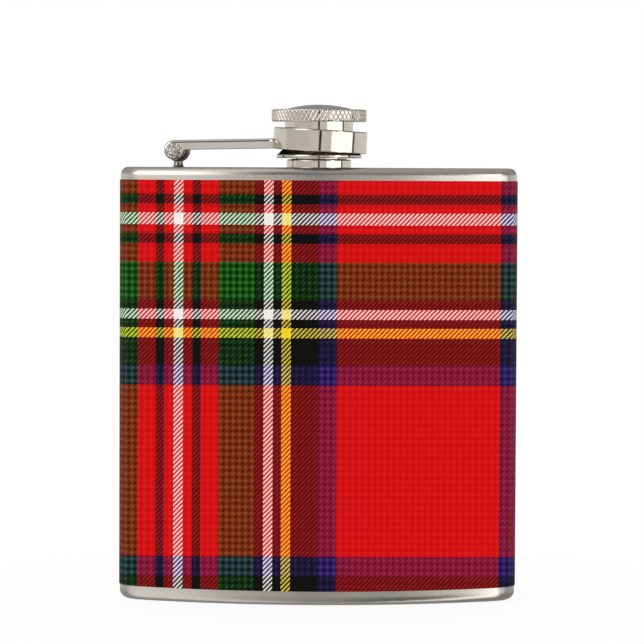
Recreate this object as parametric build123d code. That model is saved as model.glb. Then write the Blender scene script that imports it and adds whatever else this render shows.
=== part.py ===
from build123d import *
import math
import os

# A captive-cap hip flask: a kidney-section steel bottle in a printed vinyl wrap,
# with a screw cap held in the cup-shaped collar of a hinged arm.
# Millimetres, +Z up, X across the width, front (the convex face) towards -Y.
# The origin is the bottom centre of the whole object's box.

# ---------------------------------------------------------------- dimensions
# Bottle
BODY_W = 94.0            # width across the steel
BODY_H = 102.5           # base to the top of the shoulder
BODY_T = 19.5            # local thickness at the middle
FRONT_R = 107.0          # convex front radius
END_R = 7.5              # radius of the two rounded ends
WALL = 0.5               # sheet thickness of the tube
PLATE = 0.6              # sheet thickness of the shoulder and the base
TOP_ROUND = 1.8          # rim radius of the shoulder
BASE_ROUND = 2.0         # rim radius of the base
SKIRT_TOP = 100.4        # tube's upper weld line
SKIRT_BASE = 2.4         # tube's lower weld line

# Wrap
WRAP_T = 0.2
WRAP_Z0, WRAP_Z1 = 3.4, 99.5
WRAP_GAP = 0.4           # butt seam at the back

# Neck
NECK_BORE = 5.6
NECK_FOOT_R = 7.6
NECK_FOOT_Z = 104.4
NECK_ROOT_R = 6.5
NECK_CREST_R = 6.85
NECK_TOP = 110.2
NECK_HOLE_R = 6.5        # hole in the shoulder that the neck's spigot fills
PITCH = 1.7
NECK_THREAD = (105.7, 109.3)

# Cap
BUSH_Z0 = 104.7
FLANGE_R = 10.1
FLANGE_Z1 = 105.55
CONE_R = 8.75
CONE_Z = 106.6
WAIST_R = 8.06
BUSH_BORE = 7.5
BUSH_CREST_R = 7.2
BUSH_THREAD = (105.6, 108.9)
BUSH_FLOOR = 111.4       # closed end of the bore
BUSH_TOP = 114.4
HEAD_R = 11.18
HEAD_Z0, HEAD_Z1 = 113.2, 116.1
DOME_Z = 117.3
GASKET_R = 7.3
GASKET_T = BUSH_FLOOR - NECK_TOP

# Arm
PIVOT_X, PIVOT_Z = -34.2, 106.5    # before the arm is turned in plan
EAR_R = 2.33
ARM_W = 6.0              # across the two ears
ARM_WALL = 0.65
ARM_H = 2.32             # height of the channel
ARM_RISE = 1.16          # degrees, rising towards the cap
PLAN_TURN = -7.0         # degrees about the neck, so that the lug stands midway across the shoulder
ARM_END_X = -8.5
WEB_X0 = -31.1          # the web starts here, clear of the lug
COLLAR_R = 11.03
COLLAR_IN = 10.4
COLLAR_H = 5.15
COLLAR_X = 0.3
COLLAR_Z = 108.85        # middle of the collar
COLLAR_TILT = 3.1        # degrees, lower on the side away from the hinge
COLLAR_HOLE = 8.6
FLARE_R = 2.6

# Rivet and lug
RIVET_R = 0.85
LUG_HOLE_R = 0.90
RIVET_HEAD_R = 1.95
RIVET_HEAD_T = 0.75
RIVET_TAIL_T = 0.6
LUG_T = 4.3
LUG_X = -33.5
LUG_BEAD_R = 2.85
LUG_STEM_R = 1.08
LUG_TOP = 107.85

# ------------------------------------------------------------ derived places
END_X = BODY_W / 2 - END_R
END_D = FRONT_R - math.sqrt((FRONT_R - END_R) ** 2 - END_X ** 2)
a = BODY_T - END_D
BACK_R = (a * a - END_R ** 2 + END_X ** 2) / (2 * (END_R - a))
NECK_D = BODY_T / 2
# depth of the object's foremost and rearmost points, from the front of the steel
D_MIN = min(-WRAP_T, NECK_D - HEAD_R)
D_MAX = END_D + END_R + WRAP_T
D0 = (D_MIN + D_MAX) / 2
YC = NECK_D - D0         # Y of the neck's axis
AXIS = Location((0, YC, 0))
TURN = Location((0, YC, 0)) * Location((0, 0, 0), (0, 0, PLAN_TURN)) * Location((0, -YC, 0))


def kidney(grow):
    """Kidney face in the XY plane, grown outwards by grow."""
    f = Vector(0, FRONT_R - D0)
    b = Vector(0, BODY_T + BACK_R - D0)
    e = Vector(END_X, END_D - D0)
    uf = (e - f).normalized()
    ub = (e - b).normalized()
    t1 = f + uf * (FRONT_R + grow)
    t2 = b + ub * (BACK_R - grow)
    front = Vector(0, f.Y - FRONT_R - grow)
    back = Vector(0, b.Y - BACK_R + grow)
    mid = e + Vector(END_R + grow, 0)
    l1 = Vector(-t1.X, t1.Y)
    l2 = Vector(-t2.X, t2.Y)
    lm = Vector(-mid.X, mid.Y)
    edges = [
        ThreePointArc(l1, front, t1),
        ThreePointArc(t1, mid, t2),
        ThreePointArc(t2, back, l2),
        ThreePointArc(l2, lm, l1),
    ]
    return make_face(Wire(edges))


def prism(grow, z0, z1):
    return extrude(Pos(0, 0, z0) * kidney(grow), amount=z1 - z0)


def turned(points):
    """Solid of revolution about the neck's axis from (radius, height) points."""
    face = make_face(Polyline([(r, 0, z) for r, z in points], close=True))
    return AXIS * revolve(face, Axis.Z, 360)


def ring(r_out, r_in, z0, z1):
    return turned([(r_in, z0), (r_out, z0), (r_out, z1), (r_in, z1)])


def thread(r_base, r_crest, z0, z1, width=0.95, crest=0.4, turn0=0.0):
    """Helical ridge of trapezoid section between r_base and r_crest."""
    helix = Pos(0, 0, z0) * Helix(PITCH, z1 - z0, (r_base + r_crest) / 2)
    if turn0:
        helix = Rot(0, 0, turn0) * helix
    start = helix @ 0
    tangent = helix % 0
    radial = Vector(start.X, start.Y, 0).normalized()
    plane = Plane(origin=start, x_dir=radial, z_dir=tangent)
    half = (r_crest - r_base) / 2
    sink = -0.12 if half > 0 else 0.12
    pts = [
        (-half + sink, -width / 2),
        (half, -crest / 2),
        (half, crest / 2),
        (-half + sink, width / 2),
    ]
    section = plane * make_face(Polyline(pts, close=True))
    return AXIS * sweep(section, path=helix, is_frenet=True)


def fillet_rim(solid, z, radius):
    rim = solid.edges().filter_by(
        lambda e: abs(e.bounding_box().min.Z - z) < 1e-4
        and abs(e.bounding_box().max.Z - z) < 1e-4
    )
    return fillet(rim, radius)


# -------------------------------------------------------------------- bottle
body_shell = prism(0, SKIRT_BASE, SKIRT_TOP) - prism(-WALL, SKIRT_BASE - 1, SKIRT_TOP + 1)

outer = fillet_rim(prism(0, SKIRT_TOP, BODY_H), BODY_H, TOP_ROUND)
inner = fillet_rim(
    prism(-WALL, SKIRT_TOP - 2, BODY_H - PLATE), BODY_H - PLATE, TOP_ROUND - WALL
)
shoulder_plate = outer - inner - ring(NECK_HOLE_R, 0, BODY_H - 2, BODY_H + 1)

outer = fillet_rim(prism(0, 0, SKIRT_BASE), 0, BASE_ROUND)
inner = fillet_rim(prism(-WALL, PLATE, SKIRT_BASE + 2), PLATE, BASE_ROUND - WALL)
base_plate = outer - inner

vinyl_wrap = prism(WRAP_T, WRAP_Z0, WRAP_Z1) - prism(0, WRAP_Z0 - 1, WRAP_Z1 + 1)
vinyl_wrap -= Pos(0, BODY_T - D0, (WRAP_Z0 + WRAP_Z1) / 2) * Box(WRAP_GAP, 4, 120)

# ---------------------------------------------------------------------- neck
neck_body = turned(
    [
        (NECK_BORE, BODY_H - PLATE),
        (NECK_HOLE_R, BODY_H - PLATE),
        (NECK_HOLE_R, BODY_H),
        (NECK_FOOT_R, BODY_H),
        (NECK_FOOT_R, NECK_FOOT_Z - 0.35),
        (NECK_FOOT_R - 0.35, NECK_FOOT_Z),
        (NECK_ROOT_R, NECK_FOOT_Z),
        (NECK_ROOT_R, NECK_TOP - 0.25),
        (NECK_ROOT_R - 0.25, NECK_TOP),
        (NECK_BORE, NECK_TOP),
    ]
)
threaded_neck = neck_body + thread(NECK_ROOT_R, NECK_CREST_R, *NECK_THREAD)

# ----------------------------------------------------------------------- lug
bead = Pos(LUG_X, YC, PIVOT_Z) * Sphere(LUG_BEAD_R)
bead &= Pos(LUG_X, YC, (LUG_TOP + 100) / 2) * Box(12, LUG_T, LUG_TOP - 100)
stem = Pos(LUG_X, YC, (BODY_H + PIVOT_Z) / 2) * Cylinder(LUG_STEM_R, PIVOT_Z - BODY_H)
lug_foot = Pos(LUG_X, YC, BODY_H + 0.15) * Cone(LUG_STEM_R + 0.3, LUG_STEM_R, 0.3)
# the bead stays inside the circle that the web's edge sweeps round the pin
reach = Pos(PIVOT_X, YC, PIVOT_Z) * Rot(90, 0, 0) * Cylinder(
    math.hypot(WEB_X0 - PIVOT_X, PIVOT_Z + EAR_R - ARM_WALL - PIVOT_Z) - 0.25, 20
)
low = Pos(LUG_X, YC, (PIVOT_Z + 100) / 2) * Box(12, 12, PIVOT_Z - 100)
hinge_lug = (bead & (reach + low)) + stem + lug_foot
hinge_lug -= Pos(PIVOT_X, YC, PIVOT_Z) * Rot(90, 0, 0) * Cylinder(LUG_HOLE_R, 20)

# ----------------------------------------------------------------------- arm
# Collar: an upturned cup, round the bush, tilted as it hangs.
collar_place = Pos(COLLAR_X, YC, COLLAR_Z) * Rot(0, COLLAR_TILT, 0)
collar_out = Cylinder(COLLAR_R, COLLAR_H)
collar_out = fillet(collar_out.edges().sort_by(Axis.Z)[-1], 0.25)
collar_void = Pos(0, 0, -ARM_WALL - 2) * Cylinder(COLLAR_IN, COLLAR_H + 4)
collar_void = Pos(0, 0, 0) * collar_void
collar_hole = Cylinder(COLLAR_HOLE, COLLAR_H + 4)

# Channel: plan shape with flares into the collar, extruded along its own rise.
arm_place = Pos(PIVOT_X, YC, PIVOT_Z) * Rot(0, -ARM_RISE, 0)
cx = COLLAR_X - PIVOT_X


def arm_plan(shrink):
    w = ARM_W / 2 - shrink
    r = COLLAR_R - 0.05 - shrink
    strip = Pos(20, 0) * Rectangle(40, 2 * w)
    disc = Pos(cx, 0) * Circle(r)
    plan = strip + disc
    corners = plan.vertices().filter_by(
        lambda v: 5 < v.X < cx and abs(abs(v.Y) - w) < 0.01
    )
    plan = fillet(corners, FLARE_R + shrink)
    keep = Pos((ARM_END_X - PIVOT_X) / 2 - 10, 0) * Rectangle(
        ARM_END_X - PIVOT_X + 20, 40
    )
    return plan & keep


z_top = EAR_R
z_low = EAR_R - ARM_H
channel = extrude(Pos(0, 0, z_low) * arm_plan(0), amount=ARM_H)
channel = fillet(
    channel.edges().filter_by(
        lambda e: abs(e.bounding_box().min.Z - z_top) < 1e-4
        and abs(e.bounding_box().max.Z - z_top) < 1e-4
        and e.bounding_box().min.X < 20
        and e.bounding_box().max.X > 1
    ),
    0.35,
)
void = extrude(Pos(0, 0, z_low - 1) * arm_plan(ARM_WALL), amount=ARM_H - ARM_WALL + 1)
ears = Rot(90, 0, 0) * Cylinder(EAR_R, ARM_W)
ears = fillet(ears.edges().filter_by(GeomType.CIRCLE), 0.35)
ear_gap = Pos((WEB_X0 - PIVOT_X) / 2 - 5, 0, 0) * Box(
    WEB_X0 - PIVOT_X + 10, ARM_W - 2 * ARM_WALL, 20
)
arm = arm_place * ((channel - void) + ears - ear_gap)
arm -= collar_place * collar_void
swing_arm = arm + collar_place * (collar_out - collar_void - collar_hole)
swing_arm -= Pos(PIVOT_X, YC, PIVOT_Z) * Rot(90, 0, 0) * Cylinder(RIVET_R, 20)

# --------------------------------------------------------------------- rivet
half = ARM_W / 2
rivet_face = make_face(
    Polyline(
        [
            (0, -half - RIVET_HEAD_T),
            (1.1, -half - RIVET_HEAD_T * 0.93),
            (1.65, -half - RIVET_HEAD_T * 0.62),
            (RIVET_HEAD_R, -half - 0.2),
            (RIVET_HEAD_R, -half),
            (RIVET_R, -half),
            (RIVET_R, half),
            (RIVET_HEAD_R, half),
            (RIVET_HEAD_R, half + 0.2),
            (1.5, half + RIVET_TAIL_T * 0.8),
            (0, half + RIVET_TAIL_T),
        ],
        close=True,
    )
)
hinge_rivet = Pos(PIVOT_X, YC, PIVOT_Z) * revolve(rivet_face, Axis.Y, 360)

# The arm, its rivet and its lug lie along one line from the neck, turned in plan.
hinge_lug = TURN * hinge_lug
swing_arm = TURN * swing_arm
hinge_rivet = TURN * hinge_rivet

# ----------------------------------------------------------------------- cap
bush_body = turned(
    [
        (BUSH_BORE, BUSH_Z0),
        (FLANGE_R - 0.25, BUSH_Z0),
        (FLANGE_R, BUSH_Z0 + 0.25),
        (FLANGE_R, FLANGE_Z1 - 0.2),
        (FLANGE_R - 0.2, FLANGE_Z1),
        (CONE_R, CONE_Z),
        (WAIST_R, CONE_Z + 0.45),
        (WAIST_R, BUSH_TOP),
        (0, BUSH_TOP),
        (0, BUSH_FLOOR),
        (BUSH_BORE, BUSH_FLOOR),
    ]
)
cap_bush = bush_body + thread(BUSH_BORE, BUSH_CREST_R, *BUSH_THREAD, turn0=60)
cap_gasket = turned(
    [
        (0, NECK_TOP),
        (GASKET_R, NECK_TOP),
        (GASKET_R, BUSH_FLOOR - 0.2),
        (GASKET_R - 0.2, BUSH_FLOOR),
        (0, BUSH_FLOOR),
    ]
)
dome = [
    (HEAD_R * s, DOME_Z - (DOME_Z - HEAD_Z1) * s ** 2.2)
    for s in (0.0, 0.15, 0.3, 0.45, 0.6, 0.72, 0.84, 0.93)
]
cap_head = turned(
    [
        (0, BUSH_TOP),
        (WAIST_R, BUSH_TOP),
        (WAIST_R, HEAD_Z0),
        (HEAD_R - 0.3, HEAD_Z0),
        (HEAD_R, HEAD_Z0 + 0.3),
        (HEAD_R, HEAD_Z1 - 0.15),
    ]
    + dome[::-1]
)

# ---------------------------------------------------------------------- write
NODES = {
    "body_shell": body_shell,
    "shoulder_plate": shoulder_plate,
    "base_plate": base_plate,
    "vinyl_wrap": vinyl_wrap,
    "threaded_neck": threaded_neck,
    "hinge_lug": hinge_lug,
    "swing_arm": swing_arm,
    "hinge_rivet": hinge_rivet,
    "cap_head": cap_head,
    "cap_bush": cap_bush,
    "cap_gasket": cap_gasket,
}

if __name__ == "__main__":
    os.makedirs("parts", exist_ok=True)
    for name, shape in NODES.items():
        export_step(shape, f"parts/{name}.step")
        box = shape.bounding_box()
        print(name, len(shape.solids()), round(shape.volume, 1), box.min, box.max)
    pin = TURN * Location((PIVOT_X, YC, PIVOT_Z))
    print("hinge pin at", pin.position, "neck axis Y", YC, "END_D", END_D, "BACK_R", BACK_R, "D0", D0)
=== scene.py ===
import math

import bpy
import numpy as np
from mathutils import Euler, Matrix, Vector


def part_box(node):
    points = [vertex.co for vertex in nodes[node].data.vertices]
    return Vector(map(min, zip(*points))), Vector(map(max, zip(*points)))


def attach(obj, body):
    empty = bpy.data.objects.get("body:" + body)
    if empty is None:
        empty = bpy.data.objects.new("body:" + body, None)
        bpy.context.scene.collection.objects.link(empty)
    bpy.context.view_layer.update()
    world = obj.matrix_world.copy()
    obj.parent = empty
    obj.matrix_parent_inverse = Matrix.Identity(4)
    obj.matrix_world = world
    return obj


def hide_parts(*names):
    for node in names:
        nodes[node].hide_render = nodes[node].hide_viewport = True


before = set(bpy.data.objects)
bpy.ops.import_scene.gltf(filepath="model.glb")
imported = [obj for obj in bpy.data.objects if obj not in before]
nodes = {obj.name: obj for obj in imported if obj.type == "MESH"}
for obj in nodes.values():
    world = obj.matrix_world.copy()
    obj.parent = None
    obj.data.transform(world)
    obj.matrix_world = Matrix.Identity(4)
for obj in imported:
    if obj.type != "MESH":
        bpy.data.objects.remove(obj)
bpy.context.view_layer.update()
scene = bpy.context.scene
scene.view_settings.view_transform = "Standard"
scene.view_settings.look = "None"

MM = 0.001
rng = np.random.default_rng(7)

# ------------------------------------------------------------------ dimensions, mm
BODY_H, BODY_T = 102.5, 19.5
FRONT_R, END_R = 107.0, 7.5
HALF_W = 47.0
WALL, PLATE = 0.5, 0.6
TOP_ROUND, BASE_ROUND = 1.8, 2.0
SKIRT_TOP, SKIRT_BASE = 100.4, 2.4
WRAP_T, WRAP_Z0, WRAP_Z1 = 0.2, 3.4, 99.5
END_X = HALF_W - END_R
END_D = FRONT_R - math.sqrt((FRONT_R - END_R) ** 2 - END_X ** 2)
_a = BODY_T - END_D
BACK_R = (_a * _a - END_R ** 2 + END_X ** 2) / (2 * (END_R - _a))
head_lo, head_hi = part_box("cap_head")
YC = (head_lo[1] + head_hi[1]) / 2 / MM           # the neck's axis
D0 = BODY_T / 2 - YC                              # depth of y = 0 behind the front
PLAN = math.radians(-7.0)
PIN = Vector((-34.2, 0.0, 106.5))                # in the arm's own plan frame
TURN = Matrix.Translation((0, YC, 0)) @ Matrix.Rotation(PLAN, 4, "Z")

# ------------------------------------------------------------------------- camera
EYE_Z, EYE_D = 102.0, 785.0
MM_PX = 0.2357
IMG = 644
PITCH = math.radians(2.618)
ROLL = math.radians(0.27)
cam_data = bpy.data.cameras.new("camera")
cam_data.sensor_width = 36.0
cam_data.lens = 36.0 * EYE_D / (MM_PX * IMG)
cam_data.clip_start, cam_data.clip_end = 0.05, 20.0
cam = bpy.data.objects.new("camera", cam_data)
scene.collection.objects.link(cam)
cam.location = (0.9 * MM, (-EYE_D + YC) * MM, EYE_Z * MM)
cam_rot = Euler((math.pi / 2 - PITCH, 0, 0), "XYZ").to_matrix() @ Matrix.Rotation(ROLL, 3, "Z")
cam.rotation_euler = cam_rot.to_euler("XYZ")
scene.camera = cam
F_PX = cam_data.lens / 36.0 * IMG
_inv = np.array(cam_rot.transposed())
_loc = np.array(cam.location) / MM


def picture(p):
    """Where points (n, 3), in mm, fall in the 644-wide frame: column and row."""
    q = (np.asarray(p, float) - _loc) @ _inv.T
    return IMG / 2 + F_PX * q[:, 0] / -q[:, 2], IMG / 2 - F_PX * q[:, 1] / -q[:, 2]


# ------------------------------------------------------------------- mesh helpers
def link(name, verts, faces, mats=(), smooth=True, sharp=None, fmat=None):
    me = bpy.data.meshes.new(name)
    me.from_pydata([tuple(v) for v in np.asarray(verts, float) * MM], [], faces)
    me.update()
    ob = bpy.data.objects.new(name, me)
    scene.collection.objects.link(ob)
    for m in mats:
        me.materials.append(m)
    if fmat is not None:
        me.polygons.foreach_set("material_index", fmat)
    if smooth:
        me.shade_smooth()
    if sharp is not None:
        me.set_sharp_from_angle(angle=math.radians(sharp))
    return ob


def grid_faces(rows, cols, wrap_cols=True, flip=False, base=0):
    out = []
    last = cols if wrap_cols else cols - 1
    for i in range(rows - 1):
        for j in range(last):
            k = (j + 1) % cols
            q = (base + i * cols + j, base + i * cols + k, base + (i + 1) * cols + k, base + (i + 1) * cols + j)
            out.append(q[::-1] if flip else q)
    return out


def revolve_mesh(name, profile, mats, n=192, sharp=35, radius=None, centre=(0.0, None)):
    """Closed solid of revolution. profile runs (r, z) from axis or ring to ring, outside of the solid on the right when it climbs."""
    cy = YC if centre[1] is None else centre[1]
    th = np.arange(n) * 2 * math.pi / n
    rows, verts = len(profile), []
    for i, (r, z) in enumerate(profile):
        rr = np.full(n, r) if radius is None else radius(i, r, z, th)
        verts.append(np.stack([centre[0] + rr * np.cos(th), cy + rr * np.sin(th), np.full(n, z)], 1))
    ob = link(name, np.concatenate(verts), grid_faces(rows, n), mats, sharp=sharp)
    tidy(ob)
    return ob


def tidy(ob, dist=1e-7):
    import bmesh
    bm = bmesh.new()
    bm.from_mesh(ob.data)
    bmesh.ops.remove_doubles(bm, verts=bm.verts, dist=dist)
    bmesh.ops.dissolve_degenerate(bm, edges=bm.edges, dist=dist)
    bmesh.ops.recalc_face_normals(bm, faces=bm.faces)
    bm.to_mesh(ob.data)
    bm.free()
    ob.data.update()


def arc(cx, cz, r, a0, a1, n):
    """Points of an arc in a profile, angles in degrees from +r."""
    return [(cx + r * math.cos(math.radians(a)), cz + r * math.sin(math.radians(a))) for a in np.linspace(a0, a1, n)]


PHI_F = math.atan2(END_X, FRONT_R - END_D)
PHI_B = math.atan2(END_X, BACK_R + BODY_T - END_D)


def kidney(nf=150, ne=26, nb=110):
    """Outline as (function of grow) pieces: centre, direction and radius sign for each point, from the back's middle round the left end, front, right end and back again."""
    fy, by, ey = FRONT_R - D0, BODY_T + BACK_R - D0, END_D - D0
    rec = []
    for t in np.linspace(0, -PHI_B, nb // 2 + 1)[:-1]:            # back, middle to left
        rec.append((0, by, math.sin(t), -math.cos(t), BACK_R, -1))
    for a in np.linspace(90 - math.degrees(PHI_B) * -1, 270 - math.degrees(PHI_F), ne)[:-1]:
        rec.append((-END_X, ey, math.cos(math.radians(a)), math.sin(math.radians(a)), END_R, 1))
    for t in np.linspace(-PHI_F, PHI_F, nf)[:-1]:                 # front, left to right
        rec.append((0, fy, math.sin(t), -math.cos(t), FRONT_R, 1))
    for a in np.linspace(-90 + math.degrees(PHI_F), 90 + math.degrees(PHI_B), ne)[:-1]:
        rec.append((END_X, ey, math.cos(math.radians(a)), math.sin(math.radians(a)), END_R, 1))
    for t in np.linspace(PHI_B, 0, nb // 2 + 1):
        rec.append((0, by, math.sin(t), -math.cos(t), BACK_R, -1))
    return np.array(rec)


K = kidney()


def outline(grow, k=K):
    g = grow if np.ndim(grow) else np.full(len(k), grow)
    r = k[:, 4] + k[:, 5] * g
    return np.stack([k[:, 0] + k[:, 2] * r, k[:, 1] + k[:, 3] * r], 1)


# ---------------------------------------------------------------------- materials
def material(name):
    m = bpy.data.materials.new(name)
    m.use_nodes = True
    nt = m.node_tree
    return m, nt, nt.nodes["Principled BSDF"]


def N(nt, kind, **props):
    n = nt.nodes.new(kind)
    for k, v in props.items():
        if k == "inputs":
            for key, val in v.items():
                n.inputs[key].default_value = val
        else:
            setattr(n, k, v)
    return n


def L(nt, a, b):
    nt.links.new(a, b)


def math_node(nt, op, a, b=None, c=None):
    n = N(nt, "ShaderNodeMath", operation=op)
    for i, v in enumerate((a, b, c)):
        if v is None:
            continue
        if hasattr(v, "is_output"):
            L(nt, v, n.inputs[i])
        else:
            n.inputs[i].default_value = v
    return n.outputs[0]


def ramp(nt, fac, stops, interp="LINEAR"):
    n = N(nt, "ShaderNodeValToRGB")
    n.color_ramp.interpolation = interp
    el = n.color_ramp.elements
    while len(el) > 1:
        el.remove(el[-1])
    el[0].position, el[0].color = stops[0][0], stops[0][1]
    for p, c in stops[1:]:
        e = el.new(p)
        e.color = c
    L(nt, fac, n.inputs[0])
    return n


def grey(v, a=1.0):
    return (v, v, v, a)


def brushed(name, colour, rough=(0.26, 0.38), along=(18, 18, 1500), bump=0.25, fine=0.00003):
    """Steel drawn in one direction: long fine streaks in roughness, tone and height."""
    m, nt, b = material(name)
    b.inputs["Metallic"].default_value = 1.0
    tc = N(nt, "ShaderNodeTexCoord")
    mp = N(nt, "ShaderNodeMapping")
    mp.inputs["Scale"].default_value = along
    L(nt, tc.outputs["Object"], mp.inputs["Vector"])
    n1 = N(nt, "ShaderNodeTexNoise", inputs={"Scale": 1.0, "Detail": 6.0, "Roughness": 0.65})
    L(nt, mp.outputs[0], n1.inputs["Vector"])
    mp2 = N(nt, "ShaderNodeMapping")
    mp2.inputs["Scale"].default_value = tuple(v * 0.31 for v in along)
    L(nt, tc.outputs["Object"], mp2.inputs["Vector"])
    n2 = N(nt, "ShaderNodeTexNoise", inputs={"Scale": 1.0, "Detail": 3.0, "Roughness": 0.5})
    L(nt, mp2.outputs[0], n2.inputs["Vector"])
    cloud = N(nt, "ShaderNodeTexNoise", inputs={"Scale": 60.0, "Detail": 3.0})
    L(nt, tc.outputs["Object"], cloud.inputs["Vector"])
    mixed = math_node(nt, "MULTIPLY_ADD", n1.outputs["Fac"], 0.6, math_node(nt, "MULTIPLY", n2.outputs["Fac"], 0.4))
    both = math_node(nt, "MULTIPLY_ADD", cloud.outputs["Fac"], 0.25, math_node(nt, "MULTIPLY", mixed, 0.75))
    c0 = tuple(v * 0.86 for v in colour) + (1,)
    c1 = tuple(min(1, v * 1.10) for v in colour) + (1,)
    L(nt, ramp(nt, both, [(0.3, c0), (0.7, c1)]).outputs[0], b.inputs["Base Color"])
    L(nt, ramp(nt, both, [(0.3, grey(rough[0])), (0.7, grey(rough[1]))]).outputs[0], b.inputs["Roughness"])
    bp = N(nt, "ShaderNodeBump", inputs={"Strength": bump, "Distance": fine})
    L(nt, mixed, bp.inputs["Height"])
    L(nt, bp.outputs[0], b.inputs["Normal"])
    return m


def polished(name, colour, rough=(0.05, 0.11), bump=0.05, scale=900.0):
    """Polished steel with faint wipe marks and hairline scratches."""
    m, nt, b = material(name)
    b.inputs["Metallic"].default_value = 1.0
    tc = N(nt, "ShaderNodeTexCoord")
    wipe = N(nt, "ShaderNodeTexNoise", inputs={"Scale": 140.0, "Detail": 4.0, "Roughness": 0.6, "Distortion": 0.6})
    L(nt, tc.outputs["Object"], wipe.inputs["Vector"])
    hair = N(nt, "ShaderNodeTexNoise", inputs={"Scale": scale, "Detail": 5.0, "Roughness": 0.7})
    mp = N(nt, "ShaderNodeMapping")
    mp.inputs["Scale"].default_value = (0.25, 0.25, 3.0)
    L(nt, tc.outputs["Object"], mp.inputs["Vector"])
    L(nt, mp.outputs[0], hair.inputs["Vector"])
    c0 = tuple(v * 0.94 for v in colour) + (1,)
    c1 = tuple(min(1, v * 1.03) for v in colour) + (1,)
    L(nt, ramp(nt, wipe.outputs["Fac"], [(0.35, c0), (0.65, c1)]).outputs[0], b.inputs["Base Color"])
    L(nt, ramp(nt, wipe.outputs["Fac"], [(0.35, grey(rough[0])), (0.7, grey(rough[1]))]).outputs[0], b.inputs["Roughness"])
    bp = N(nt, "ShaderNodeBump", inputs={"Strength": bump, "Distance": 0.00002})
    L(nt, hair.outputs["Fac"], bp.inputs["Height"])
    L(nt, bp.outputs[0], b.inputs["Normal"])
    return m


STEEL = (0.70, 0.645, 0.585)
m_body = brushed("steel_brushed_round", (0.64, 0.60, 0.555), rough=(0.21, 0.31))
m_plate = brushed("steel_brushed_plate", (0.66, 0.615, 0.565), along=(14, 1500, 1500), rough=(0.24, 0.36))
m_polish = polished("steel_polished", STEEL)
m_knurl = polished("steel_knurl", STEEL, rough=(0.10, 0.17), bump=0.12)
# darkened copy of the steel: painted shade where the lug sits between the cheeks and under the arm's channel
m_lug_painted_shade = polished("steel_lug_painted_shade", (0.28, 0.265, 0.245), rough=(0.22, 0.36), bump=0.35, scale=500.0)
m_rivet = polished("steel_rivet", (0.56, 0.515, 0.47), rough=(0.16, 0.3), bump=0.3, scale=700.0)
# dark brown, darkened copy of the steel: painted shade under the collar and inside the channel; the higher roughness is
# the unpolished metal
m_unpolished_painted_shade = polished("steel_unpolished_painted_shade", (0.30, 0.235, 0.18), rough=(0.32, 0.46), bump=0.3)
m_thread = polished("steel_thread", (0.66, 0.61, 0.56), rough=(0.14, 0.24), bump=0.1)


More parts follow.
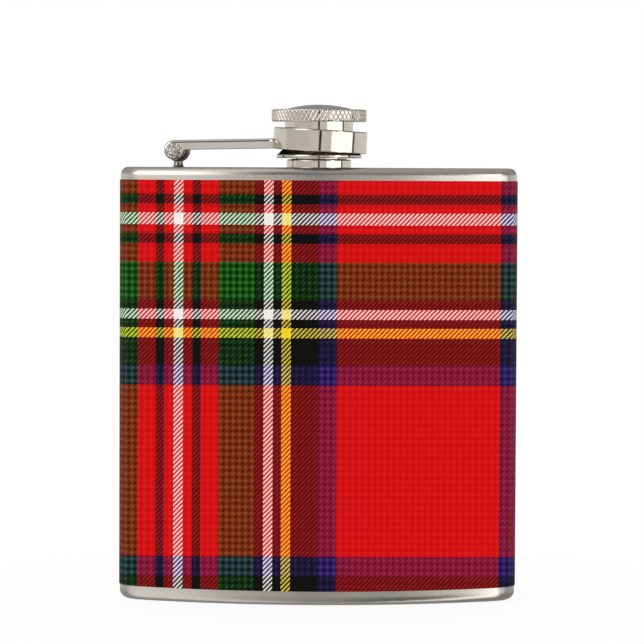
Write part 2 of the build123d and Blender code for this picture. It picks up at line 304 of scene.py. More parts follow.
def tartan(name):
    """Printed twill tartan. The UV map holds the artwork's own coordinates, in thousandths of a unit of 0.236 mm."""
    m, nt, b = material(name)
    uv = N(nt, "ShaderNodeUVMap", uv_map="artwork")
    sep = N(nt, "ShaderNodeSeparateXYZ")
    L(nt, uv.outputs[0], sep.inputs[0])
    U = math_node(nt, "MULTIPLY", sep.outputs[0], 1000.0)
    V = math_node(nt, "MULTIPLY", sep.outputs[1], 1000.0)
    # colours as displayed values; the alpha is how far a thread's tone swings
    W = (0.945, 0.920, 0.905, 0.0)
    R = (0.820, 0.070, 0.075, 0.10)
    KK = (0.080, 0.080, 0.078, 0.0)
    G = (0.060, 0.300, 0.056, 0.56)
    Y = (0.940, 0.830, 0.120, 0.03)
    B = (0.170, 0.115, 0.360, 0.42)

    def sett(edges, half):
        cols = [W, R, KK, R, G, KK, W, KK, Y, KK, B, R]
        return [(e / half, c) for e, c in zip([0.0] + edges, cols)]

    warp_edges = [4.55, 13.15, 21.65, 39.95, 75.75, 84.75, 93.85, 102.75, 112.35, 139.25, 158.15]
    weft_edges = [5.15, 14.45, 23.85, 42.55, 81.15, 90.45, 100.05, 108.45, 118.35, 146.6, 165.9]
    pu = math_node(nt, "DIVIDE", math_node(nt, "PINGPONG", math_node(nt, "SUBTRACT", U, 178.15), 240.0), 240.0)
    pv = math_node(nt, "DIVIDE", math_node(nt, "PINGPONG", math_node(nt, "SUBTRACT", V, 219.75), 251.9), 251.9)
    warp = ramp(nt, pu, sett(warp_edges, 240.0), "CONSTANT")
    weft = ramp(nt, pv, sett(weft_edges, 251.9), "CONSTANT")

    def dots(coord, period, phase):
        return math_node(nt, "COSINE", math_node(nt, "MULTIPLY_ADD", coord, 2 * math.pi / period, phase))

    def luma(colour):
        d = N(nt, "ShaderNodeVectorMath", operation="DOT_PRODUCT")
        L(nt, colour, d.inputs[0])
        d.inputs[1].default_value = (0.299, 0.587, 0.114)
        return d.outputs["Value"]

    lattice = math_node(nt, "MULTIPLY_ADD", dots(V, 6.60, 0.4), 0.68, math_node(nt, "MULTIPLY", dots(U, 6.32, 0.6), 0.68))
    warp_l = math_node(nt, "MULTIPLY", luma(warp.outputs[0]), math_node(nt, "MULTIPLY_ADD", lattice, warp.outputs[1], 1.0))
    weft_l = math_node(nt, "MULTIPLY", luma(weft.outputs[0]), math_node(nt, "MULTIPLY_ADD", lattice, weft.outputs[1], 1.0))
    diag = math_node(nt, "ADD", math_node(nt, "DIVIDE", U, 4.552), math_node(nt, "DIVIDE", V, 4.719))
    tri = math_node(nt, "MULTIPLY", math_node(nt, "PINGPONG", diag, 0.5), 2.0)
    mask = N(nt, "ShaderNodeMapRange", interpolation_type="SMOOTHSTEP")
    for key, val in (("From Min", 0.18), ("From Max", 0.82), ("To Min", -0.5), ("To Max", 0.5)):
        mask.inputs[key].default_value = val
    L(nt, tri, mask.inputs["Value"])
    soft = N(nt, "ShaderNodeMapRange", interpolation_type="SMOOTHSTEP")
    for key, val in (("From Min", 0.1), ("From Max", 0.9), ("To Min", 0.37), ("To Max", 0.63)):
        soft.inputs[key].default_value = val
    L(nt, tri, soft.inputs["Value"])
    # hue blends across threads, brightness stays crisp
    mix = N(nt, "ShaderNodeMix", data_type="RGBA")
    L(nt, soft.outputs[0], mix.inputs["Factor"])
    L(nt, weft.outputs[0], mix.inputs["A"])
    L(nt, warp.outputs[0], mix.inputs["B"])
    # threads of like tone sink into each other, threads of unlike tone stand out
    step = math_node(nt, "ABSOLUTE", math_node(nt, "SUBTRACT", luma(warp.outputs[0]), luma(weft.outputs[0])))
    amp = math_node(nt, "MINIMUM", math_node(nt, "MULTIPLY_ADD", step, 0.95, 0.36), 0.88)
    share = math_node(nt, "MULTIPLY_ADD", mask.outputs[0], amp, 0.5)
    crisp = math_node(nt, "ADD", math_node(nt, "MULTIPLY", share, warp_l), math_node(nt, "MULTIPLY", math_node(nt, "SUBTRACT", 1.0, share), weft_l))
    lift = math_node(nt, "SUBTRACT", crisp, luma(mix.outputs["Result"]))
    addv = N(nt, "ShaderNodeVectorMath", operation="ADD")
    L(nt, mix.outputs["Result"], addv.inputs[0])
    L(nt, lift, addv.inputs[1])
    clampv = N(nt, "ShaderNodeVectorMath", operation="MAXIMUM")
    L(nt, addv.outputs[0], clampv.inputs[0])
    clampv.inputs[1].default_value = (0.015, 0.015, 0.015)
    # a little unevenness in the ink
    tc = N(nt, "ShaderNodeTexCoord")
    ink = N(nt, "ShaderNodeTexNoise", inputs={"Scale": 2600.0, "Detail": 2.0})
    L(nt, tc.outputs["Object"], ink.inputs["Vector"])
    k = math_node(nt, "MULTIPLY_ADD", ink.outputs["Fac"], 0.07, 0.965)
    s = N(nt, "ShaderNodeVectorMath", operation="SCALE")
    L(nt, clampv.outputs[0], s.inputs[0])
    L(nt, k, s.inputs["Scale"])
    g = N(nt, "ShaderNodeGamma", inputs={"Gamma": 2.2})
    L(nt, s.outputs[0], g.inputs[0])
    L(nt, g.outputs[0], b.inputs["Base Color"])
    b.inputs["Specular IOR Level"].default_value = 0.06
    rough = N(nt, "ShaderNodeTexNoise", inputs={"Scale": 420.0, "Detail": 3.0})
    L(nt, tc.outputs["Object"], rough.inputs["Vector"])
    L(nt, ramp(nt, rough.outputs["Fac"], [(0.3, grey(0.46)), (0.7, grey(0.58))]).outputs[0], b.inputs["Roughness"])
    bp = N(nt, "ShaderNodeBump", inputs={"Strength": 0.12, "Distance": 0.00002})
    L(nt, ink.outputs["Fac"], bp.inputs["Height"])
    L(nt, bp.outputs[0], b.inputs["Normal"])
    return m


m_tartan = tartan("vinyl_tartan")

m_edge, nt, b = material("vinyl_cut_edge")
nz = N(nt, "ShaderNodeTexNoise", inputs={"Scale": 3000.0, "Detail": 2.0})
L(nt, N(nt, "ShaderNodeTexCoord").outputs["Object"], nz.inputs["Vector"])
L(nt, ramp(nt, nz.outputs["Fac"], [(0.3, (0.55, 0.48, 0.46, 1)), (0.7, (0.78, 0.74, 0.72, 1))]).outputs[0], b.inputs["Base Color"])
b.inputs["Roughness"].default_value = 0.6

m_seal, nt, b = material("silicone_seal")
tc = N(nt, "ShaderNodeTexCoord")
nz = N(nt, "ShaderNodeTexNoise", inputs={"Scale": 900.0, "Detail": 4.0})
L(nt, tc.outputs["Object"], nz.inputs["Vector"])
L(nt, ramp(nt, nz.outputs["Fac"], [(0.3, (0.74, 0.73, 0.70, 1)), (0.7, (0.84, 0.83, 0.80, 1))]).outputs[0], b.inputs["Base Color"])
L(nt, ramp(nt, nz.outputs["Fac"], [(0.3, grey(0.45)), (0.7, grey(0.6))]).outputs[0], b.inputs["Roughness"])
b.inputs["Subsurface Weight"].default_value = 0.15
b.inputs["Subsurface Scale"].default_value = 0.001

# ---------------------------------------------------------------------------- wrap
OVERLAP = 1.6                                      # mm each side of the back's middle


def build_wrap():
    k = K
    # outer line, with the free end lying over the other at the back
    base = outline(WRAP_T)
    seg = np.hypot(*np.diff(base, axis=0).T)
    s = np.concatenate([[0], np.cumsum(seg)])
    total = s[-1]
    # extend both ends past the middle of the back by re-sampling the closed line
    S = np.concatenate([np.linspace(-OVERLAP, 6, 24)[:-1], s[(s > 6) & (s < total - 6)], np.linspace(total - 6, total + OVERLAP, 36)])

    def at(vals, q):
        q = np.mod(q, total)
        return np.interp(q, s, vals)

    kk = np.stack([at(k[:, i], S) for i in range(6)], 1)
    # directions near the middle of the back stay on one arc, so plain interpolation is exact there
    nrm = kk[:, 5:6] * kk[:, 2:4]
    nrm /= np.linalg.norm(nrm, axis=1, keepdims=True)
    line0 = np.stack([at(base[:, 0], S), at(base[:, 1], S)], 1)
    lift = np.clip((S - (total - OVERLAP - 0.5)) / 0.9, 0, 1)
    lift = WRAP_T * 1.15 * lift * lift * (3 - 2 * lift)
    outer = line0 + nrm * lift[:, None]
    inner = line0 + nrm * (lift - WRAP_T * 0.93)[:, None]
    zs = np.concatenate([[WRAP_Z0], [WRAP_Z0 + 0.05], np.linspace(WRAP_Z0 + 0.6, WRAP_Z1 - 0.6, 58), [WRAP_Z1 - 0.05], [WRAP_Z1]])
    ease = np.full(len(zs), 0.0)
    ease[0] = ease[-1] = 0.05
    n, r = len(S), len(zs)
    verts, uvs = [], []
    # artwork: as seen flat from the front, then by length round the ends and the back
    lim = 46.0
    px, _ = picture(np.stack([line0[:, 0], line0[:, 1], np.full(n, 50.0)], 1))
    front = (np.abs(line0[:, 0]) <= lim) & (kk[:, 3] < 0) & (kk[:, 5] > 0)
    i0, i1 = np.where(front)[0][0], np.where(front)[0][-1]
    u = px.copy()
    u[:i0] = px[i0] - (S[i0] - S[:i0]) / MM_PX
    u[i1 + 1:] = px[i1] + (S[i1 + 1:] - S[i1]) / MM_PX
    yy = line0[:, 1].copy()
    xx = line0[:, 0].copy()
    yy[:i0], yy[i1 + 1:] = yy[i0], yy[i1]
    xx[:i0], xx[i1 + 1:] = xx[i0], xx[i1]
    # the cloth pattern dips a little across the left of the front
    dip = np.interp(u, [60, 121, 150, 236, 300, 375, 450, 640], [1.9, 1.75, 1.55, 0.93, 0.5, 0.1, 0.0, 0.0])
    for z, e in zip(zs, ease):
        o = outer - nrm * e
        verts.append(np.column_stack([o, np.full(n, z)]))
        _, row = picture(np.stack([xx, yy, np.full(n, z)], 1))
        uvs.append(np.column_stack([u, row + dip]))
    for z in zs:
        verts.append(np.column_stack([inner, np.full(n, z)]))
    verts = np.concatenate(verts)
    uv = np.concatenate(uvs)
    uv = np.concatenate([uv, uv])
    faces = grid_faces(r, n, wrap_cols=False)
    mats = [0] * len(faces)
    faces += grid_faces(r, n, wrap_cols=False, flip=True, base=r * n)
    mats += [1] * (len(faces) - len(mats))
    for j in range(n - 1):
        faces.append((j + 1, j, r * n + j, r * n + j + 1))
        t = (r - 1) * n
        faces.append((t + j, t + j + 1, r * n + t + j + 1, r * n + t + j))
    for i in range(r - 1):
        a, c = i * n, (i + 1) * n
        faces.append((a, c, r * n + c, r * n + a))
        a, c = i * n + n - 1, (i + 1) * n + n - 1
        faces.append((c, a, r * n + a, r * n + c))
    mats += [1] * (len(faces) - len(mats))
    ob = link("tartan_wrap", verts, faces, (m_tartan, m_edge), sharp=40, fmat=mats)
    layer = ob.data.uv_layers.new(name="artwork")
    idx = np.zeros(len(ob.data.loops), dtype=np.int32)
    ob.data.loops.foreach_get("vertex_index", idx)
    layer.data.foreach_set("uv", (uv[idx] * 0.001).ravel())
    return ob


wrap = build_wrap()
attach(wrap, "flask")
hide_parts("vinyl_wrap")


# ---------------------------------------------------------------------- steel body
KB = K[:-1]
NB = len(KB)


def ring_rows(rows):
    return np.concatenate([np.column_stack([outline(g, KB), np.full(NB, z)]) for g, z in rows])


shell_rows = [(0, SKIRT_BASE), (0, 20), (0, 50), (0, 80), (0, SKIRT_TOP), (-WALL, SKIRT_TOP), (-WALL, 50), (-WALL, SKIRT_BASE), (0, SKIRT_BASE)]
shell = link("tube_shell", ring_rows(shell_rows), grid_faces(len(shell_rows), NB), (m_body,))
tidy(shell)
shell.data.shade_smooth()
shell.data.set_sharp_from_angle(angle=math.radians(40))
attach(shell, "flask")
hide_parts("body_shell")


def plate_piece(name, rim, flat_z, inner_rows, hole=None, n_fill=14, flip=False):
    """A pressed tray: rim rows of (grow, z) up to the flat, which closes on the hole or on the middle; then the inner side back."""
    rows = [np.column_stack([outline(g, KB), np.full(NB, z)]) for g, z in rim]

    def fill(start, z, r_hole, reverse=False):
        c = np.array([0.0, YC])
        d = start - c
        if r_hole:
            end = c + d / np.linalg.norm(d, axis=1, keepdims=True) * r_hole
        else:
            end = np.zeros_like(start) + np.array([0.0, BODY_T / 2 - D0])
        got = []
        for t in np.linspace(0, 1, n_fill)[1:]:
            p = start + (end - start) * t
            got.append(np.column_stack([p, np.full(NB, z)]))
        return got

    rows += fill(outline(rim[-1][0], KB), flat_z, hole)
    back = [np.column_stack([outline(g, KB), np.full(NB, z)]) for g, z in inner_rows]
    inner_flat = fill(outline(inner_rows[0][0], KB), inner_rows[0][1], hole)
    rows += inner_flat[::-1]
    rows += back
    rows.append(rows[0])
    ob = link(name, np.concatenate(rows), grid_faces(len(rows), NB), (m_body, m_plate))
    tidy(ob, 2e-7)
    ob.data.shade_smooth()
    ob.data.set_sharp_from_angle(angle=math.radians(40))
    for p in ob.data.polygons:
        if abs(p.normal.z) > 0.93:
            p.material_index = 1
    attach(ob, "flask")
    return ob


q = TOP_ROUND
rim = [(0, SKIRT_TOP), (0, BODY_H - q)] + [(-q + q * math.cos(a), BODY_H - q + q * math.sin(a)) for a in np.linspace(0, math.pi / 2, 14)[1:]]
qi = q - WALL
inn = [(-q, BODY_H - PLATE)] + [(-WALL - qi + qi * math.cos(a), BODY_H - PLATE - qi + qi * math.sin(a)) for a in np.linspace(math.pi / 2, 0, 8)[1:]] + [(-WALL, SKIRT_TOP)]
shoulder = plate_piece("shoulder_tray", rim, BODY_H, inn, hole=6.5)
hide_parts("shoulder_plate")

q = BASE_ROUND
rim = [(0, SKIRT_BASE), (0, q)] + [(-q + q * math.cos(a), q - q * math.sin(a)) for a in np.linspace(0, math.pi / 2, 14)[1:]]
qi = q - WALL
inn = [(-q, PLATE)] + [(-WALL - qi + qi * math.cos(a), PLATE + qi - qi * math.sin(a)) for a in np.linspace(math.pi / 2, 0, 8)[1:]] + [(-WALL, SKIRT_BASE)]
base = plate_piece("base_tray", rim, 0.0, inn, hole=None)
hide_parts("base_plate")

# ---------------------------------------------------------------------------- neck
PITCH_T = 1.7


def helix_radius(root, crest, z0, z1, hand=1.0, phase=0.0, width=0.30, flank=0.16):
    """Radius at a height and angle on a round thread that fades in and out at its ends."""
    def f(z, th):
        x = np.mod((z - z0) / PITCH_T - hand * th / (2 * math.pi) + phase, 1.0)
        d = np.abs(x - 0.5)
        h = np.clip((width / 2 + flank - d) / flank, 0, 1)
        h = h * h * (3 - 2 * h)
        fade = np.clip((z - z0) / 0.5, 0, 1) * np.clip((z1 - z) / 0.5, 0, 1)
        return root + (crest - root) * h * fade
    return f


def threaded_neck():
    n = 240
    th = np.arange(n) * 2 * math.pi / n
    f = helix_radius(6.5, 6.88, 105.3, 109.6)
    rows = [(5.6, 101.9), (6.5, 101.9), (6.5, 102.5), (7.6, 102.5), (7.6, 104.0)]
    rows += arc(7.3, 104.1, 0.3, 0, 90, 5) + [(6.62, 104.4), (6.5, 104.5)]
    body = [(6.5, z) for z in np.linspace(104.7, 109.7, 64)]
    top = [(6.5, 109.85)] + arc(6.2, 109.9, 0.3, 0, 90, 6) + arc(5.85, 109.95, 0.25, 90, 180, 5) + [(5.6, 108.0), (5.6, 104.0), (5.6, 101.9)]
    allr = rows + body + top
    verts = []
    for i, (r, z) in enumerate(allr):
        rr = f(z, th) if len(rows) <= i < len(rows) + len(body) else np.full(n, r)
        verts.append(np.stack([rr * np.cos(th), YC + rr * np.sin(th), np.full(n, z)], 1))
    ob = link("filler_neck", np.concatenate(verts), grid_faces(len(allr), n), (m_polish,), sharp=38)
    tidy(ob)
    return ob


neck = threaded_neck()
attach(neck, "flask")
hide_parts("threaded_neck")

# ----------------------------------------------------------------------------- cap
BORE, B_CREST = 7.5, 7.2


def build_bush():
    n = 256
    th = np.arange(n) * 2 * math.pi / n
    f = helix_radius(BORE, B_CREST, 105.4, 109.1, phase=0.35)
    prof = [(BORE, 104.72)] + [(BORE + 0.12, 104.7)]
    prof += [(9.6, 104.7)] + arc(9.8, 105.0, 0.3, -90, 0, 6) + arc(9.85, 105.3, 0.25, 0, 80, 5)
    prof += [(9.6, 105.78), (8.95, 106.42), (8.72, 106.62)] + [(8.35, 106.86), (8.14, 107.02), (8.06, 107.2)]
    prof += [(8.06, 109.0), (8.06, 111.0), (8.06, 113.0), (8.06, 114.4), (4.0, 114.4), (0.0, 114.4), (0.0, 111.4), (4.0, 111.4), (BORE - 0.15, 111.4), (BORE, 111.25)]
    wall = [(BORE, z) for z in np.linspace(109.6, 105.0, 60)]
    allr = prof + wall + [(BORE, 104.72)]
    verts = []
    for i, (r, z) in enumerate(allr):
        rr = f(z, th) if len(prof) <= i < len(prof) + len(wall) else np.full(n, r)
        verts.append(np.stack([rr * np.cos(th), YC + rr * np.sin(th), np.full(n, z)], 1))
    ob = link("cap_sleeve", np.concatenate(verts), grid_faces(len(allr), n), (m_polish,), sharp=38)
    tidy(ob)
    ob.data.shade_smooth()
    ob.data.set_sharp_from_angle(angle=math.radians(38))
    return ob


sleeve = build_bush()
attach(sleeve, "cap")
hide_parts("cap_bush")

HEAD_R, HEAD_Z0, HEAD_Z1, DOME_Z = 11.18, 113.2, 116.1, 117.3
KNURLS, DIAMOND_H, K_DEPTH = 62, 1.95, 0.10


def build_head():
    per = 24
    n = KNURLS * per
    th = np.arange(n) * 2 * math.pi / n
    z0, z1 = HEAD_Z0 + 0.12, HEAD_Z1 - 0.1
    rows = [(8.06, 114.4), (8.06, HEAD_Z0 + 0.1), (8.16, HEAD_Z0), (9.5, HEAD_Z0), (10.6, HEAD_Z0), (10.95, HEAD_Z0 + 0.03)]
    band = np.linspace(z0, z1, 60)
    dome = []
    dome += [(10.92, HEAD_Z1), (10.0, HEAD_Z1), (8.9, HEAD_Z1), (8.55, HEAD_Z1 + 0.01), (8.3, HEAD_Z1 + 0.06)]
    for s in np.linspace(0.97, 0.0, 30):
        dome.append((8.3 * s, DOME_Z - (DOME_Z - HEAD_Z1 - 0.02) * s ** 2))
    verts = []
    for r, z in rows:
        verts.append(np.stack([r * np.cos(th), YC + r * np.sin(th), np.full(n, z)], 1))
    for z in band:
        a = th * KNURLS / (2 * math.pi) + (z - z0) / DIAMOND_H
        c = th * KNURLS / (2 * math.pi) - (z - z0) / DIAMOND_H
        da, dc = np.abs(np.mod(a, 1) - 0.5), np.abs(np.mod(c, 1) - 0.5)
        # diamonds stand between two crossing sets of grooves
        ga, gc = np.clip((0.5 - da) / 0.17, 0, 1), np.clip((0.5 - dc) / 0.17, 0, 1)
        h = np.sin(ga * math.pi / 2) * np.sin(gc * math.pi / 2)
        edge = np.clip((z - z0) / 0.2, 0, 1) * np.clip((z1 - z) / 0.2, 0, 1)
        r = HEAD_R - K_DEPTH * (1 - h) * (0.35 + 0.65 * edge) - 0.10 * (1 - edge)
        verts.append(np.stack([r * np.cos(th), YC + r * np.sin(th), np.full(n, z)], 1))
    for r, z in dome:
        verts.append(np.stack([r * np.cos(th), YC + r * np.sin(th), np.full(n, z)], 1))
    for r, z in [(0.0, 114.4), (8.06, 114.4)]:
        verts.append(np.stack([r * np.cos(th), YC + r * np.sin(th), np.full(n, z)], 1))
    cnt = len(rows) + len(band) + len(dome) + 2
    faces = grid_faces(cnt, n)
    mats = []
    for i in range(cnt - 1):
        mats += [1 if len(rows) - 1 <= i < len(rows) + len(band) - 1 else 0] * n
    ob = link("knurled_head", np.concatenate(verts), faces, (m_polish, m_knurl), sharp=30, fmat=mats)
    tidy(ob)
    ob.data.shade_smooth()
    ob.data.set_sharp_from_angle(angle=math.radians(28))
    return ob


head = build_head()
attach(head, "cap")
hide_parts("cap_head")

seal = revolve_mesh("sealing_disc", [(0, 110.2), (5.3, 110.2), (5.5, 110.26), (6.7, 110.26), (6.9, 110.2), (7.15, 110.22), (7.28, 110.35), (7.3, 110.6), (7.3, 111.2), (7.15, 111.38), (0, 111.4)], (m_seal,), n=128)
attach(seal, "seal")
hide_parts("cap_gasket")

# --------------------------------------------------------------------------- rivet


def build_rivet():
    """Pin with a rough hammered head in front and a smoother one behind, along local Y."""
    n = 72
    th = np.arange(n) * 2 * math.pi / n
    half = 3.0
    rows = []
    for t in np.linspace(0, 1, 16):                      # front face, middle to rim
        r = 1.93 * t
        y = -half - 0.72 * (1 - t ** 2.4) - 0.03
        rows.append((r, y, 1.0))
    rows += [(1.93, -half, 0.3), (0.85, -half, 0.0), (0.85, 0, 0.0), (0.85, half, 0.0), (1.9, half, 0.2)]
    for t in np.linspace(1, 0, 9):
        rows.append((1.9 * t, half + 0.56 * (1 - t ** 2.2) + 0.03, 0.45))
    from mathutils import noise
    verts = []
    for r, y, rough in rows:
        for a in th:
            k_r = 1.03 if rough == 1.0 or rough == 0.3 else 1.0
            p = Vector((r * k_r * math.cos(a), y, r * k_r * math.sin(a)))
            off = Vector((-0.02, 0, -0.38)) if k_r > 1 else Vector((0, 0, 0))
            if rough:
                k = noise.noise(p * 2.1 + Vector((3.1, 0, 7.7))) * 0.26 + noise.noise(p * 4.7) * 0.13
                c = noise.cell(p * 2.6 + Vector((11, 5, 2))) * 0.08
                d = (k + c - 0.03) * rough
                p = p + Vector((math.cos(a) * d * 0.45 * min(1, r), math.copysign(1, y) * d, math.sin(a) * d * 0.45 * min(1, r)))
                p.y = max(min(p.y, half + 0.6), -half - 0.75)
                q = math.hypot(p.x, p.z)
                if q > 2.06:
                    p.x *= 2.06 / q
                    p.z *= 2.06 / q
            p = p + off
            verts.append((p.x, p.y, p.z))
    verts = np.array(verts)
    M = TURN @ Matrix.Translation(PIN)
    verts = np.array([M @ Vector(v) for v in verts])
    ob = link("peened_rivet", verts, grid_faces(len(rows), n), (m_rivet,), sharp=60)
    tidy(ob)
    return ob


rivet = build_rivet()
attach(rivet, "arm")
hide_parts("hinge_rivet")

# ----------------------------------------------------------------------- swing arm
EAR_R, ARM_W, SHEET, ARM_H = 2.33, 6.0, 0.70, 2.32
RISE, FLARE_R = math.radians(1.16), 1.5
COL_R, COL_IN, COL_H, COL_X, COL_Z, COL_TILT = 11.03, 10.5, 5.15, 0.3, 108.85, math.radians(3.1)
U1 = 3.6                                            # ear plate ends, bent channel starts
XT = COL_X - math.sqrt((COL_R + FLARE_R) ** 2 - (ARM_W / 2 + FLARE_R) ** 2)
PHI_END = math.atan2(COL_X - XT, ARM_W / 2 + FLARE_R) + math.radians(4)
UT = XT - PIN.x
B_TOP, B_LOW = 0.66, 0.14


def arm_place(u, d, w, side):
    """Arm's own coordinates to its plan frame: along, into the sheet, up; side is -1 for the front cheek."""
    if u <= UT:
        x, y = u, ARM_W / 2 - d
    else:
        phi = min((u - UT) / FLARE_R, PHI_END)
        x = UT + (FLARE_R + d) * math.sin(phi)
        y = ARM_W / 2 + FLARE_R - (FLARE_R + d) * math.cos(phi)
    return PIN.x + x * math.cos(RISE) - w * math.sin(RISE), side * y, PIN.z + x * math.sin(RISE) + w * math.cos(RISE)


def cheek_rows(b):
    """Inset and depth of the rounded outer edge, then a support row on the face."""
    rows = [(0.0, SHEET)] + [(b * (1 - math.cos(a)), b * (1 - math.sin(a))) for a in np.linspace(0, math.pi / 2, 9)]
    return rows + [(b + 0.04, 0.0)]


def ear_outline():
    rho, w0 = 0.8, EAR_R - ARM_H
    uc = math.sqrt((EAR_R + rho) ** 2 - (w0 - rho) ** 2)
    t0 = math.atan2(w0 - rho, uc)
    pts = [(U1, EAR_R, 0.0, 1.0, B_TOP)] + [(u, EAR_R, 0.0, 1.0, B_TOP) for u in (2.4, 1.2)]
    for a in np.linspace(math.pi / 2, 2 * math.pi + t0, 72):
        f = min(1.0, (a - math.pi / 2) / math.pi)
        b = B_TOP * (1 - f) + 0.34 * f
        if a > 1.5 * math.pi:
            g = (a - 1.5 * math.pi) / (t0 + 0.5 * math.pi)
            b = 0.34 * (1 - g) + B_LOW * g
        pts.append((EAR_R * math.cos(a), EAR_R * math.sin(a), math.cos(a), math.sin(a), b))
    for a in np.linspace(math.pi + t0, math.pi / 2, 14)[1:]:
        pts.append((uc + rho * math.cos(a), w0 - rho + rho * math.sin(a), -math.cos(a), -math.sin(a), B_LOW))
    pts.append((U1, w0, 0.0, -1.0, B_LOW))
    return pts


def build_arm():
    verts, faces = [], []
    w0 = EAR_R - ARM_H
    for side in (-1, 1):
        flip = side > 0

        def add(fs):
            faces.extend([tuple(f[::-1]) for f in fs] if flip else fs)

        pts = ear_outline()
        m = len(pts)
        base0 = len(verts)
        n_rows = len(cheek_rows(1.0))
        for j in range(n_rows):
            for (u, w, nu, nw, b) in pts:
                inset, d = cheek_rows(b)[j]
                verts.append(arm_place(u - nu * inset, d, w - nw * inset, side))
        add(grid_faces(n_rows, m, wrap_cols=False, base=base0))
        last = base0 + (n_rows - 1) * m
        add([tuple(range(last, last + m))])
        add([tuple(range(base0 + m - 1, base0 - 1, -1))])
        # bent channel cheek
        us = [U1] + list(np.linspace(U1 + 0.8, UT - 0.4, 26)) + list(np.linspace(UT, UT + FLARE_R * PHI_END, 26))
        prof = [(EAR_R - i, d) for i, d in cheek_rows(B_TOP)] + [(w0 + i, d) for i, d in cheek_rows(B_LOW)[::-1]]
        base1 = len(verts)
        for u in us:
            for w, d in prof:
                verts.append(arm_place(u, d, w, side))
        k = len(prof)
        add(grid_faces(len(us), k, wrap_cols=True, flip=True, base=base1))
        e = base1 + (len(us) - 1) * k
        add([tuple(range(e, e + k))])
    # web between the cheeks
    us = [3.11, 3.16] + list(np.linspace(3.6, UT - 0.4, 20)) + list(np.linspace(UT, UT + FLARE_R * PHI_END, 20))
    ts = np.linspace(-1, 1, 9)
    base2 = len(verts)
    prof = [(t, EAR_R) for t in ts] + [(t, EAR_R - 0.62) for t in ts[::-1]]
    for i, u in enumerate(us):
        for t, w in prof:
            ww = w - 0.05 if i == 0 and w == EAR_R else w
            x, y, zz = arm_place(u, SHEET, ww, 1)
            verts.append((x, y * t, zz))
    k = len(prof)
    faces.extend(grid_faces(len(us), k, wrap_cols=True, base=base2))
    faces.append(tuple(range(base2 + k - 1, base2 - 1, -1)))
    e = base2 + (len(us) - 1) * k
    m = len(ts)
    faces.extend([(e + j, e + j + 1, e + k - 2 - j, e + k - 1 - j) for j in range(m - 1)])
    # the channel ends inside the collar's wall and never reaches into the cup
    for i, (x, y, zz) in enumerate(verts):
        ax = COL_X + (zz - COL_Z) * math.tan(COL_TILT)
        r = math.hypot(x - ax, y)
        if r < 10.78:
            verts[i] = (ax + (x - ax) * 10.78 / r, y * 10.78 / r, zz)
    # collar cup
    h = COL_H / 2
    prof = [(COL_IN, -h + 0.08), (COL_IN + 0.1, -h)] + arc(COL_R - 0.16, -h + 0.16, 0.16, -90, 0, 6)
    prof += [(COL_R, -h + 0.19), (COL_R, -0.8), (COL_R, 0.8), (COL_R, h - 0.35)] + arc(COL_R - 0.32, h - 0.32, 0.32, 0, 90, 9)
    prof += [(10.2, h), (9.4, h)] + arc(8.75, h - 0.15, 0.15, 90, 180, 5) + [(8.6, h - 0.55), (8.7, h - 0.63), (10.2, h - 0.63), (COL_IN, h - 0.85), (COL_IN, -h + 0.08)]
    n = 256
    th = np.arange(n) * 2 * math.pi / n
    base3 = len(verts)
    c, sn = math.cos(COL_TILT), math.sin(COL_TILT)
    for r, zz in prof:
        for a in th:
            x, y = r * math.cos(a), r * math.sin(a)
            verts.append((COL_X + x * c + zz * sn, y, COL_Z - x * sn + zz * c))
    faces.extend(grid_faces(len(prof), n, base=base3))
    verts = np.array([TURN @ Vector(v) for v in verts])
    ob = link("arm_and_collar", verts, faces, (m_polish, m_unpolished_painted_shade))
    tidy(ob, 2e-7)
    # the cup's inside and the channel's inside were never polished, so they are rougher; their dark brown colour, also
    # on the channel's underside, is painted shade
    back = TURN.inverted()
    for p in ob.data.polygons:
        c0 = back @ (p.center / MM)
        n0 = back.to_3x3() @ p.normal
        r = math.hypot(c0.x - COL_X, c0.y)
        if r < COL_R - 0.12 and (n0.z < -0.5 or (n0.x * (c0.x - COL_X) + n0.y * c0.y) < 0 and r > 9.5):
            p.material_index = 1
        elif r > COL_R and n0.z < -0.9 and c0.z > 107.6 and abs(c0.y) < 2.6:
            p.material_index = 1
    ob.data.shade_smooth()
    ob.data.set_sharp_from_angle(angle=math.radians(35))
    return ob


arm = build_arm()
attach(arm, "arm")
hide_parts("swing_arm")

# ----------------------------------------------------------------------- hinge lug
LUG_X, LUG_R, LUG_HALF, LUG_TOP, STEM_R = -33.5, 2.85, 2.15, 107.85, 1.08


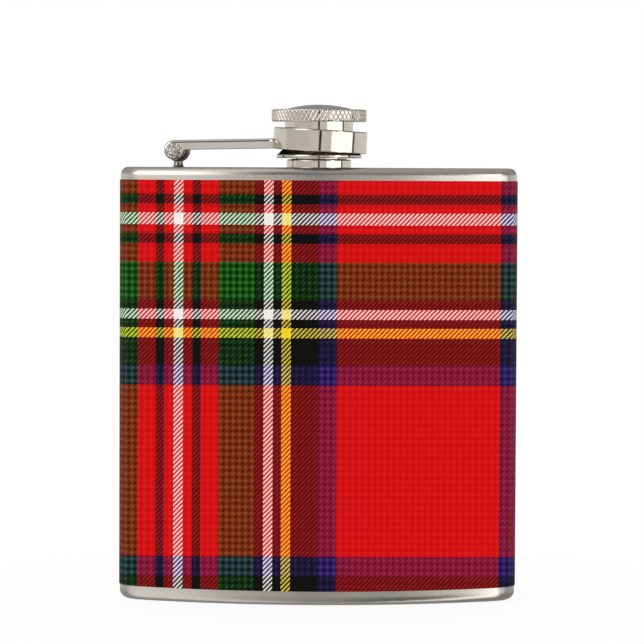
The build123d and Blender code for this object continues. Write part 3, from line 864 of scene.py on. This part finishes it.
def build_lug():
    n, m = 72, 40
    cx, cz = LUG_X, 106.5
    verts, faces = [], []
    # bead: rows run along the pin from one cheek face to the other
    hole = 0.90
    rows = []
    for t in np.linspace(-1, 1, m):
        y = LUG_HALF * math.sin(t * math.pi / 2 * 0.995)
        rows.append((y, LUG_R * math.sqrt(max(0.0, 1 - (y / 3.05) ** 2))))
    face_r = rows[0][1]
    outer = [(-LUG_HALF, face_r - 0.30)] + rows + [(LUG_HALF, face_r - 0.30)]
    th = np.arange(n) * 2 * math.pi / n
    for y, r in outer:
        for a in th:
            x, z = r * math.cos(a), r * math.sin(a)
            top = LUG_TOP - cz
            if z > top - 0.2:
                z = top - 0.2 + 0.2 * (1 - math.exp(-(z - top + 0.2) / 0.2))
            verts.append((cx + x, y, cz + z))
    for y in (LUG_HALF, -LUG_HALF):
        for a in th:
            verts.append((PIN.x + hole * math.cos(a), y, PIN.z + hole * math.sin(a)))
    k = len(outer) + 2
    faces += grid_faces(k, n)
    last = (k - 1) * n
    faces += [(last + j, last + (j + 1) % n, (j + 1) % n, j) for j in range(n)]
    # stem and foot, sunk into the bead
    prof = [(0.0, 102.5), (1.42, 102.5), (1.32, 102.6), (1.2, 102.78), (1.12, 103.05), (STEM_R, 103.4), (STEM_R, 103.8), (STEM_R, 104.15), (0.0, 104.3)]
    base = len(verts)
    for r, z in prof:
        for a in th:
            verts.append((cx + r * math.cos(a), r * math.sin(a), max(z, 102.5)))
    faces += grid_faces(len(prof), n, base=base)
    verts = np.array([TURN @ Vector(v) for v in verts])
    # the lug's darkened steel is painted shade from the arm above it
    ob = link("hinge_bead", verts, faces, (m_lug_painted_shade,))
    tidy(ob, 2e-7)
    ob.data.shade_smooth()
    ob.data.set_sharp_from_angle(angle=math.radians(40))
    return ob


lug = build_lug()
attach(lug, "flask")
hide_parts("hinge_lug")

# ---------------------------------------------------------------- floor and lights


def build_floor():
    n, radii = 96, [0.0, 0.02, 0.05, 0.1, 0.2, 0.4, 0.8, 1.6, 3.2]
    th = np.arange(n) * 2 * math.pi / n
    verts = np.concatenate([np.stack([r * 1000 * np.cos(th), r * 1000 * np.sin(th), np.full(n, -0.02)], 1) for r in radii])
    m, nt, b = material("studio_floor")
    b.inputs["Base Color"].default_value = (0.86, 0.86, 0.86, 1)
    b.inputs["Roughness"].default_value = 0.85
    b.inputs["Specular IOR Level"].default_value = 0.1
    em = N(nt, "ShaderNodeEmission", inputs={"Color": (1, 1, 1, 1), "Strength": 1.0})
    geo = N(nt, "ShaderNodeTexCoord")
    ln = N(nt, "ShaderNodeVectorMath", operation="LENGTH")
    L(nt, geo.outputs["Object"], ln.inputs[0])
    mr = N(nt, "ShaderNodeMapRange", interpolation_type="SMOOTHSTEP")
    mr.inputs["From Min"].default_value = 0.03
    mr.inputs["From Max"].default_value = 0.20
    mr.inputs["To Min"].default_value = 0.90
    L(nt, ln.outputs["Value"], mr.inputs["Value"])
    ms = N(nt, "ShaderNodeMixShader")
    L(nt, mr.outputs[0], ms.inputs[0])
    L(nt, b.outputs[0], ms.inputs[1])
    L(nt, em.outputs[0], ms.inputs[2])
    L(nt, ms.outputs[0], nt.nodes["Material Output"].inputs[0])
    ob = link("studio_floor", verts, grid_faces(len(radii), n), (m,))
    tidy(ob)
    return ob


floor = build_floor()
floor.visible_glossy = False
floor.visible_diffuse = False

world = bpy.data.worlds.new("studio")
scene.world = world
world.use_nodes = True
nt = world.node_tree
nt.nodes.clear()
out = N(nt, "ShaderNodeOutputWorld")
bg_seen = N(nt, "ShaderNodeBackground", inputs={"Color": (1, 1, 1, 1), "Strength": 1.0})
bg_light = N(nt, "ShaderNodeBackground", inputs={"Strength": 1.0})
lp = N(nt, "ShaderNodeLightPath")
ms = N(nt, "ShaderNodeMixShader")
L(nt, lp.outputs["Is Camera Ray"], ms.inputs[0])
L(nt, bg_light.outputs[0], ms.inputs[1])
L(nt, bg_seen.outputs[0], ms.inputs[2])
L(nt, ms.outputs[0], out.inputs[0])
tc = N(nt, "ShaderNodeTexCoord")
sep = N(nt, "ShaderNodeSeparateXYZ")
L(nt, tc.outputs["Generated"], sep.inputs[0])
# azimuth from the front (-Y) towards +X, 0..1 over -180..180 degrees
az = math_node(nt, "ARCTAN2", sep.outputs[0], math_node(nt, "MULTIPLY", sep.outputs[1], -1.0))
az01 = math_node(nt, "MULTIPLY_ADD", az, 1 / (2 * math.pi), 0.5)


def A(deg):
    return (deg + 180.0) / 360.0


z = sep.outputs[2]


def az_ramp(stops):
    return ramp(nt, az01, [(A(d), grey(v)) for d, v in stops]).outputs[0]


def above(limit, soft):
    a = N(nt, "ShaderNodeMapRange", interpolation_type="SMOOTHSTEP")
    a.inputs["From Min"].default_value = limit - soft
    a.inputs["From Max"].default_value = limit + soft
    L(nt, z, a.inputs["Value"])
    return a.outputs[0]


def mixv(f, a, b_):
    return math_node(nt, "ADD", math_node(nt, "MULTIPLY", math_node(nt, "SUBTRACT", 1.0, f), a), math_node(nt, "MULTIPLY", f, b_))


# rings of the studio from the floor up: floor, walls with a tall softbox at the right, left upper softbox, ceiling
SIDE = [(-180, 0.80), (-94, 0.80), (-90, 0.64), (-26, 0.66), (-24, 0.72), (-3.8, 0.76), (-2.6, 0.012), (2.2, 0.012), (3.4, 0.76), (26, 0.72), (29, 1.74), (85, 1.74), (87, 0.04), (91, 0.04), (94, 0.78), (180, 0.80)]
LOW = [(-180, 0.36), (-100, 0.36), (-82, 0.9), (-38, 1.0), (-18, 0.42), (14, 0.30), (26, 0.08), (44, 0.05), (48, 2.7), (54, 2.7), (62, 0.3), (88, 0.26), (180, 0.36)]
RISE_1 = [(-180, 0.30), (-130, 0.40), (-96, 0.46), (-72, 0.6), (-60, 3.8), (-44, 3.8), (-34, 2.7), (-24, 0.6), (-19, 0.03), (-12, 0.03), (-2, 0.20), (18, 0.20), (30, 0.05), (44, 0.05), (48, 4.4), (55, 4.4), (62, 0.3), (84, 0.10), (96, 0.34), (120, 0.34), (180, 0.30)]
RISE_2 = [(-180, 0.30), (-130, 0.40), (-96, 0.46), (-72, 0.6), (-60, 2.6), (-44, 2.6), (-32, 1.2), (-22, 0.34), (-18, 0.03), (-8, 0.03), (-5, 0.34), (60, 0.30), (84, 0.28), (96, 0.36), (120, 0.36), (180, 0.30)]
HIGH = [(-180, 0.42), (-110, 0.42), (-80, 1.05), (-44, 1.05), (-22, 0.48), (10, 0.42), (90, 0.42), (120, 0.42), (180, 0.42)]
val = mixv(above(-0.11, 0.04), az_ramp(LOW), az_ramp(SIDE))
val = mixv(above(0.115, 0.03), val, az_ramp(RISE_1))
val = mixv(above(0.36, 0.05), val, az_ramp(RISE_2))
val = mixv(above(0.70, 0.12), val, az_ramp(HIGH))
tint = N(nt, "ShaderNodeCombineColor")
L(nt, val, tint.inputs[0])
L(nt, math_node(nt, "MULTIPLY", val, 0.995), tint.inputs[1])
L(nt, math_node(nt, "MULTIPLY", val, 0.985), tint.inputs[2])
L(nt, tint.outputs[0], bg_light.inputs["Color"])
# matt surfaces get an even soft light
bg_even = N(nt, "ShaderNodeBackground", inputs={"Strength": 1.0})
even = mixv(above(0.0, 0.9), 0.86, 1.10)
ec = N(nt, "ShaderNodeCombineColor")
for i in range(3):
    L(nt, even, ec.inputs[i])
L(nt, ec.outputs[0], bg_even.inputs["Color"])
md = N(nt, "ShaderNodeMixShader")
L(nt, lp.outputs["Is Diffuse Ray"], md.inputs[0])
L(nt, bg_light.outputs[0], md.inputs[1])
L(nt, bg_even.outputs[0], md.inputs[2])
L(nt, md.outputs[0], ms.inputs[1])
